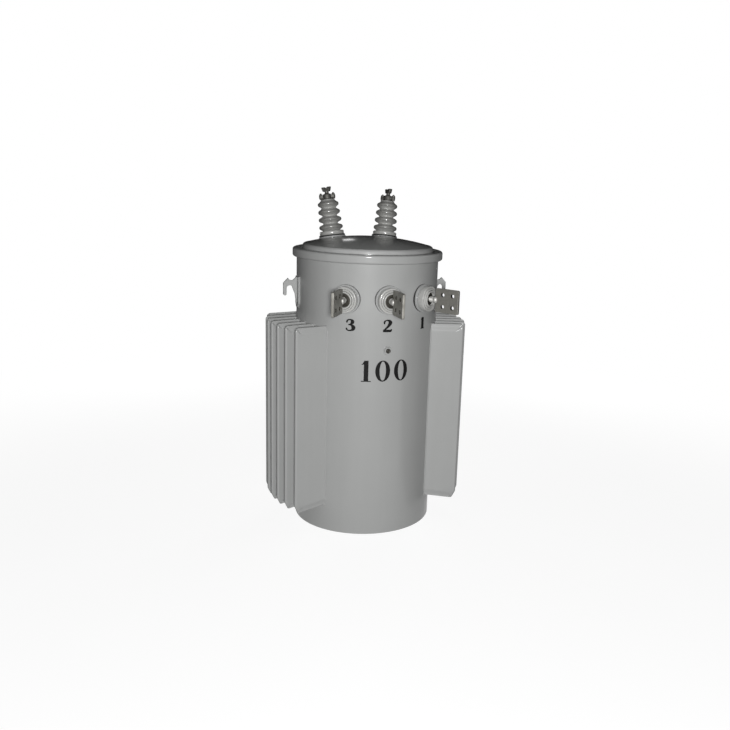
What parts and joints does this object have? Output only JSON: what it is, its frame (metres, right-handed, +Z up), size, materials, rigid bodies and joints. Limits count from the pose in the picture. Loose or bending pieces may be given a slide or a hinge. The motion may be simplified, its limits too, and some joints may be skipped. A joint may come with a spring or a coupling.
{
  "type": "pole mounted distribution transformer",
  "caption": "Round finned steel tank with a banded dome cover, cover and wall bushings with spade pads, hook lugs and pole hangers.",
  "frame": {"origin": "centre of the tank's underside", "axes": "+Z up, front (middle low voltage bushing) -Y, +X to the right seen from the front"},
  "size_m": [0.8008, 0.796, 1.325],
  "materials": {
    "tank_paint": "light grey semi-gloss enamel",
    "porcelain": "light grey glazed porcelain",
    "rubber": "black nitrile",
    "bronze": "tinned bronze, dulled",
    "tinned_metal": "tinned copper alloy, dull",
    "zinc_steel": "zinc plated"
  },
  "bodies": {
    "root": {"band_bolt": "zinc_steel", "cover": "tank_paint", "cover_band": "tank_paint", "ground_boss": "tank_paint", "hv_bushing_left": "porcelain", "hv_bushing_right": "porcelain", "hv_gasket_left": "rubber", "hv_gasket_right": "rubber", "hv_seat_left": "tank_paint", "hv_seat_right": "tank_paint", "hv_terminal_left": "bronze", "hv_terminal_right": "bronze", "left_fin_1": "tank_paint", "left_fin_2": "tank_paint", "left_fin_3": "tank_paint", "left_fin_4": "tank_paint", "left_fin_5": "tank_paint", "left_fin_6": "tank_paint", "left_fin_7": "tank_paint", "lifting_lug_left": "tank_paint", "lifting_lug_right": "tank_paint", "lower_hanger": "tank_paint", "lv_bushing_left": "porcelain", "lv_bushing_middle": "porcelain", "lv_bushing_right": "porcelain", "lv_clamp_ring_left": "tank_paint", "lv_clamp_ring_middle": "tank_paint", "lv_clamp_ring_right": "tank_paint", "lv_gasket_left": "rubber", "lv_gasket_middle": "rubber", "lv_gasket_right": "rubber", "lv_terminal_left": "tinned_metal", "lv_terminal_middle": "tinned_metal", "lv_terminal_right": "tinned_metal", "right_fin_1": "tank_paint", "right_fin_2": "tank_paint", "right_fin_3": "tank_paint", "right_fin_4": "tank_paint", "right_fin_5": "tank_paint", "right_fin_6": "tank_paint", "right_fin_7": "tank_paint", "tank_base": "tank_paint", "tank_wall": "tank_paint", "upper_hanger": "tank_paint"}
  },
  "joints": []
}
